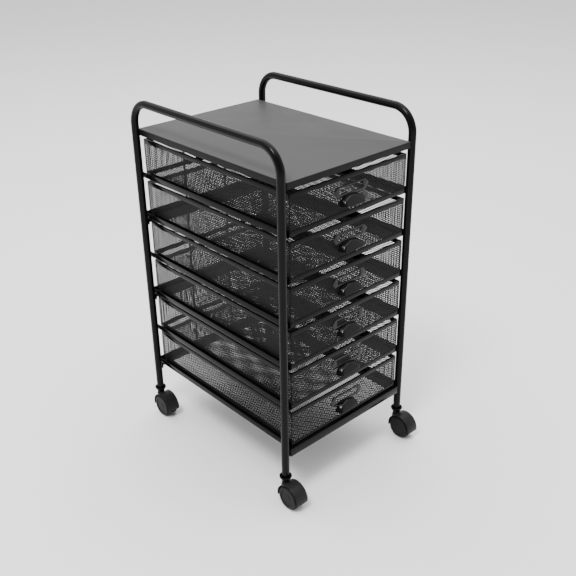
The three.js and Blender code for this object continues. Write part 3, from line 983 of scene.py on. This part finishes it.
# Screws: button heads inside the folded flanges, facing the middle of the cart
def screws():
    rounding = [math.radians(angle) for angle in SCREW_ANGLES]
    profile = [(SCREW_HEAD * math.cos(t), SCREW_RISE * math.sin(t)) for t in rounding]
    profile = [(SCREW_HEAD, -SCREW_SINK)] + profile + [
        (SCREW_SOCKET, SCREW_RISE),
        (SCREW_SOCKET * SCREW_SOCKET_TAPER, SCREW_RISE - SCREW_SOCKET_DEPTH)]
    head = smooth(turned("button_head", profile, SCREW_SIDES), angle=40)
    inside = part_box("top_tray")[1][0]
    tube_low, tube_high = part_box("left_side_frame")
    post_y = tube_high[1] - (tube_high[0] - tube_low[0]) / 2
    tray_low, tray_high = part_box("top_tray")
    tray_z = (tray_low[2] + tray_high[2] - TRAY_SHEET) / 2
    seats = [(y, tray_z, TRAY_SHEET) for y in (-post_y, post_y)]
    front_low, front_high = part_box("front_bar")
    seats.append((-post_y, (front_low[2] + front_high[2]) / 2, BAR_SHEET))
    for level in REAR_BAR_LEVELS:
        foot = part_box(f"rear_bar_{level}")[0][2]
        tab_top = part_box(f"left_rail_{level}")[0][2] - BAR_TAB_DROP
        seats.append((post_y, (foot + tab_top) / 2, BAR_SHEET))
    for side, sign in SIDES.items():
        for number, (y, z, sheet) in enumerate(seats, 1):
            twin = copied(head, f"{side}_screw_{number}")
            turn = Matrix.Rotation(-sign * math.pi / 2, 4, "Y")
            twin.data.transform(Matrix.Translation((sign * (inside - sheet), y, z)) @ turn)
            dress(twin, ROOT, FRAME_COAT, "powder_coat")
    bpy.data.objects.remove(head)


# Stage: a pale floor, soft lights and the camera of the photograph
def stage():
    rest()
    bpy.ops.mesh.primitive_plane_add(size=FLOOR_SIZE, location=(0, 0, 0))
    floor = named("floor")
    finish = Finish("pale_floor", Roughness=0.9, Specular_IOR_Level=0.1)
    tone = finish.noise(FLOOR_CLOUDS, detail=1.0)
    finish.feed("Base Color", finish.varied(tone, 1, FLOOR_TONES))
    floor.data.materials.append(finish.material)


def soft_light(name, place, target, size, power):
    light = bpy.data.lights.new(name, "AREA")
    light.shape = "RECTANGLE"
    light.size, light.size_y = size
    light.energy = power
    lamp = bpy.data.objects.new(name, light)
    bpy.context.collection.objects.link(lamp)
    lamp.location = place
    lamp.rotation_euler = (Vector(target) - Vector(place)).to_track_quat("-Z", "Y").to_euler()


def lights():
    """A pale room, dim behind the camera, so that tubes show a dark middle between pale edges."""
    world = bpy.data.worlds.new("studio")
    bpy.context.scene.world = world
    world.use_nodes = True
    tree = world.node_tree
    direction = tree.nodes.new("ShaderNodeTexCoord")
    towards = tree.nodes.new("ShaderNodeVectorMath")
    towards.operation = "DOT_PRODUCT"
    towards.inputs[1].default_value = DIM_SIDE
    room = tree.nodes.new("ShaderNodeMapRange")
    room.interpolation_type = "SMOOTHSTEP"
    for entry, value in (("From Min", DIM_START), ("From Max", DIM_FULL),
                         ("To Min", ROOM_LIGHT), ("To Max", ROOM_LIGHT * DIM_SHARE)):
        room.inputs[entry].default_value = value
    tree.links.new(direction.outputs["Generated"], towards.inputs[0])
    tree.links.new(towards.outputs["Value"], room.inputs["Value"])
    tree.links.new(room.outputs["Result"], tree.nodes["Background"].inputs["Strength"])
    tree.nodes["Background"].inputs["Color"].default_value = (1, 1, 1, 1)
    soft_light("top_softbox", place=(0.3, 0.5, 3.0), target=(0, 0, 0.3), size=(4.0, 4.0), power=130)
    soft_light("left_lamp", place=(-1.5, -0.6, 2.9), target=(0, 0, 0.4), size=(0.8, 0.8), power=80)


def camera():
    level = math.cos(CAMERA_ELEVATION)
    forward = Vector((math.sin(CAMERA_AZIMUTH) * level, math.cos(CAMERA_AZIMUTH) * level,
                      -math.sin(CAMERA_ELEVATION)))
    level_right = forward.cross(Vector((0, 0, 1))).normalized()
    level_up = level_right.cross(forward)
    right = math.cos(CAMERA_ROLL) * level_right + math.sin(CAMERA_ROLL) * level_up
    up = math.cos(CAMERA_ROLL) * level_up - math.sin(CAMERA_ROLL) * level_right
    lens = bpy.data.cameras.new("photo_camera")
    lens.sensor_width = SENSOR
    lens.lens = FOCAL_PIXELS / PICTURE * SENSOR
    lens.shift_x = (PICTURE / 2 - PRINCIPAL_POINT[0]) / PICTURE
    lens.shift_y = (PRINCIPAL_POINT[1] - PICTURE / 2) / PICTURE
    eye = bpy.data.objects.new("photo_camera", lens)
    bpy.context.collection.objects.link(eye)
    turn = Matrix((right, up, -forward)).transposed().to_4x4()
    eye.matrix_world = Matrix.Translation(CAMERA_PLACE) @ turn
    bpy.context.scene.camera = eye


camera()
stage()
lights()
for side in SIDES:
    side_frame(side)
top_tray()
rails()
cross_bars()
stop_rods()
drawers()
casters()
screws()
